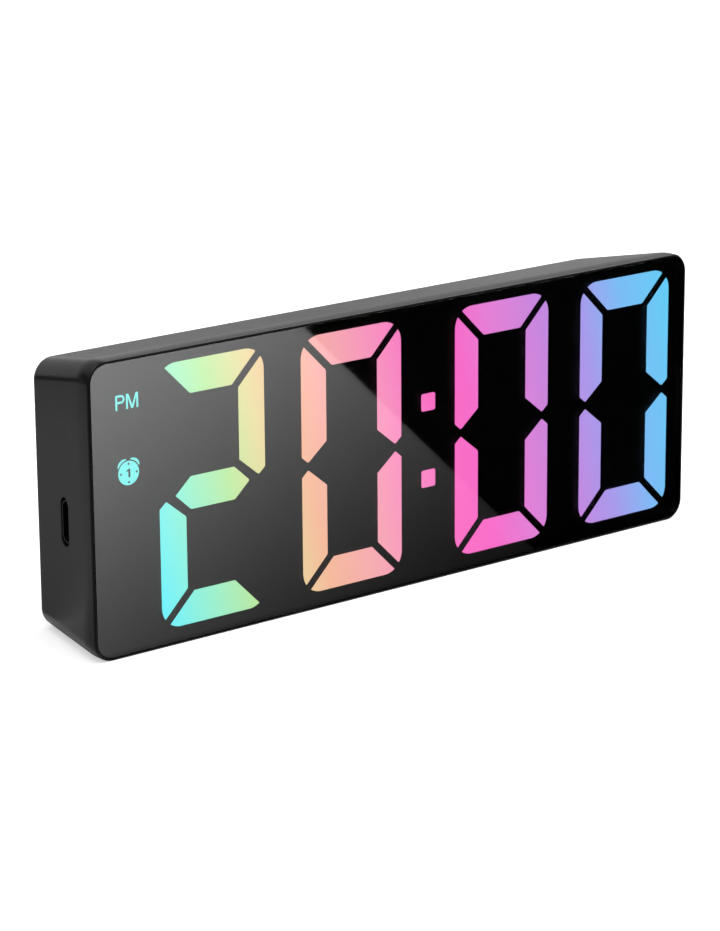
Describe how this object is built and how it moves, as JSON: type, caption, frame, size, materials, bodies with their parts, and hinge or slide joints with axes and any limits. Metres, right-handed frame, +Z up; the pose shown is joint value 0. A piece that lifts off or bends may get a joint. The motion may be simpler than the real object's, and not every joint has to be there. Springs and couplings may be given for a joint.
{
  "type": "digital alarm clock",
  "caption": "Desktop digital alarm clock: wide shallow case, flush smoked display pane over large segment digits, USB inlet in one side, rear cover with setting buttons and a battery door.",
  "frame": {"origin": "middle of the underside", "axes": "+X to the right along the display as a viewer faces it, +Y from the display to the rear, +Z up"},
  "size_m": [0.162, 0.027, 0.062],
  "materials": {
    "case_plastic": "fine satin black moulded plastic",
    "smoked_pane": "polished smoked acrylic",
    "adhesive_tape": "black foam adhesive",
    "mask_film": "printed black film",
    "tinted_film": "rainbow-tinted diffusing film",
    "white_plastic": "white moulded plastic",
    "circuit_board": "green solder resist",
    "black_resin": "moulded resin",
    "bright_metal": "bright plated steel",
    "socket_metal": "dark plated steel",
    "capacitor_can": "satin aluminium can",
    "button_plastic": "smooth black plastic",
    "cover_plastic": "fine-grained black moulded plastic",
    "cell_sleeve": "plain grey printed sleeve",
    "contact_nickel": "nickel-plated spring steel",
    "black_screw": "black zinc plate",
    "red_wire": "red insulation",
    "black_wire": "black insulation"
  },
  "bodies": {
    "clock_body": {"main_case": "case_plastic", "front_panel": "smoked_pane", "panel_tape": "adhesive_tape", "display_mask": "mask_film", "rainbow_film": "tinted_film", "reflector": "white_plastic", "display_board": "circuit_board", "controller_chip": "black_resin", "crystal": "bright_metal", "capacitor": "capacitor_can", "buzzer": "black_resin", "socket_shell": "socket_metal", "socket_tongue": "black_resin", "switch_set": "black_resin", "switch_up": "black_resin", "switch_down": "black_resin", "rear_cover": "cover_plastic", "battery_cell_1": "cell_sleeve", "battery_cell_2": "cell_sleeve", "battery_cell_3": "cell_sleeve", "contact_plus": "contact_nickel", "contact_minus": "contact_nickel", "contact_link_1": "contact_nickel", "contact_link_2": "contact_nickel", "case_screw_1": "black_screw", "case_screw_2": "black_screw", "case_screw_3": "black_screw", "case_screw_4": "black_screw", "board_screw_1": "bright_metal", "board_screw_2": "bright_metal", "board_screw_3": "bright_metal", "board_screw_4": "bright_metal", "lead_plus": "red_wire", "lead_minus": "black_wire"},
    "battery_lid": {"battery_door": "cover_plastic"},
    "set_button": {"button_set": "button_plastic", "plunger_set": "button_plastic"},
    "up_button": {"button_up": "button_plastic", "plunger_up": "button_plastic"},
    "down_button": {"button_down": "button_plastic", "plunger_down": "button_plastic"}
  },
  "joints": [
    {"name": "battery_lid_tilt", "type": "hinge", "parent": "clock_body", "child": "battery_lid", "pos_m": [0.03, 0.0129, 0.00895], "axis": [-1, 0, 0], "range_deg": [0, 80]},
    {"name": "set_button_press", "type": "slide", "parent": "clock_body", "child": "set_button", "axis": [0, -1, 0], "range_m": [0, 0.0005], "stiffness_N_per_m": 1500, "springref_m": -0.0002},
    {"name": "up_button_press", "type": "slide", "parent": "clock_body", "child": "up_button", "axis": [0, -1, 0], "range_m": [0, 0.0005], "stiffness_N_per_m": 1500, "springref_m": -0.0002},
    {"name": "down_button_press", "type": "slide", "parent": "clock_body", "child": "down_button", "axis": [0, -1, 0], "range_m": [0, 0.0005], "stiffness_N_per_m": 1500, "springref_m": -0.0002}
  ]
}
